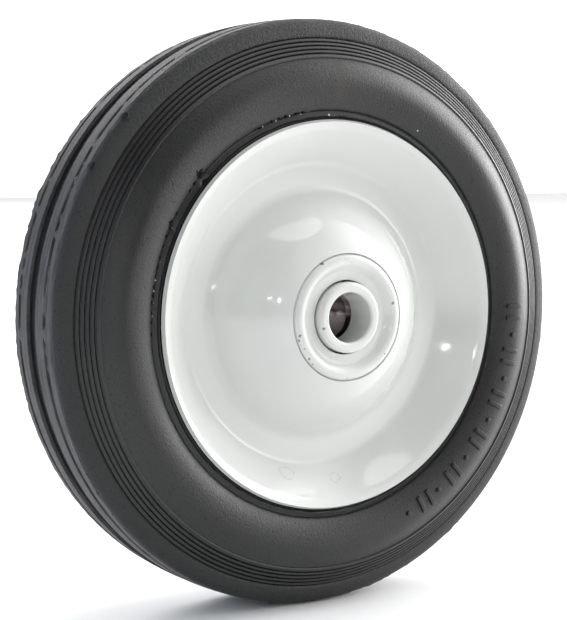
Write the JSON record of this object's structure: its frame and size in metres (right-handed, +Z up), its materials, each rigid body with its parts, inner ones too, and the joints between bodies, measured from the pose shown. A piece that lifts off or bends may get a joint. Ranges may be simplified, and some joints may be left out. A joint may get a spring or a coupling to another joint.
{
  "type": "steel rim wheel",
  "caption": "Small wheel with a ribbed black rubber tyre on a white pressed steel rim, domed to a ball bearing hub, turning on a plain axle.",
  "frame": {"origin": "the wheel's centre, on the axle's axis and in the tyre's middle plane", "axes": "+Y along the axle, away from the side shown in the picture, +Z up; the wheel is alike on both sides and turns about Y"},
  "size_m": [0.1524, 0.0508, 0.1524],
  "materials": {
    "tyre_rubber": "satin moulded rubber",
    "white_paint": "gloss",
    "bare_steel": "drawn, oiled",
    "bearing_steel": "polished"
  },
  "bodies": {
    "axle_core": {"front_inner_race": "white_paint", "back_inner_race": "white_paint", "axle_spacer": "bare_steel"},
    "wheel": {"tyre": "tyre_rubber", "front_rim_half": "white_paint", "back_rim_half": "white_paint", "hub_tube": "bare_steel", "front_bearing_case": "white_paint", "back_bearing_case": "white_paint", "front_outer_race": "bearing_steel", "back_outer_race": "bearing_steel"},
    "front_balls": {"front_ball_01": "bearing_steel", "front_ball_02": "bearing_steel", "front_ball_03": "bearing_steel", "front_ball_04": "bearing_steel", "front_ball_05": "bearing_steel", "front_ball_06": "bearing_steel", "front_ball_07": "bearing_steel", "front_ball_08": "bearing_steel", "front_ball_09": "bearing_steel", "front_ball_10": "bearing_steel", "front_ball_11": "bearing_steel", "front_ball_12": "bearing_steel"},
    "back_balls": {"back_ball_01": "bearing_steel", "back_ball_02": "bearing_steel", "back_ball_03": "bearing_steel", "back_ball_04": "bearing_steel", "back_ball_05": "bearing_steel", "back_ball_06": "bearing_steel", "back_ball_07": "bearing_steel", "back_ball_08": "bearing_steel", "back_ball_09": "bearing_steel", "back_ball_10": "bearing_steel", "back_ball_11": "bearing_steel", "back_ball_12": "bearing_steel"}
  },
  "joints": [
    {"name": "wheel_spin", "type": "hinge", "parent": "axle_core", "child": "wheel", "pos_m": [0, 0, 0], "axis": [0, 1, 0], "continuous": true},
    {"name": "front_ball_orbit", "type": "hinge", "parent": "axle_core", "child": "front_balls", "pos_m": [0, -0.01825, 0], "axis": [0, 1, 0], "continuous": true},
    {"name": "back_ball_orbit", "type": "hinge", "parent": "axle_core", "child": "back_balls", "pos_m": [0, 0.01825, 0], "axis": [0, 1, 0], "continuous": true}
  ],
  "couplings": [
    {"joint": "front_ball_orbit", "follows": "wheel_spin", "ratio": 0.59361},
    {"joint": "back_ball_orbit", "follows": "wheel_spin", "ratio": 0.59361}
  ]
}
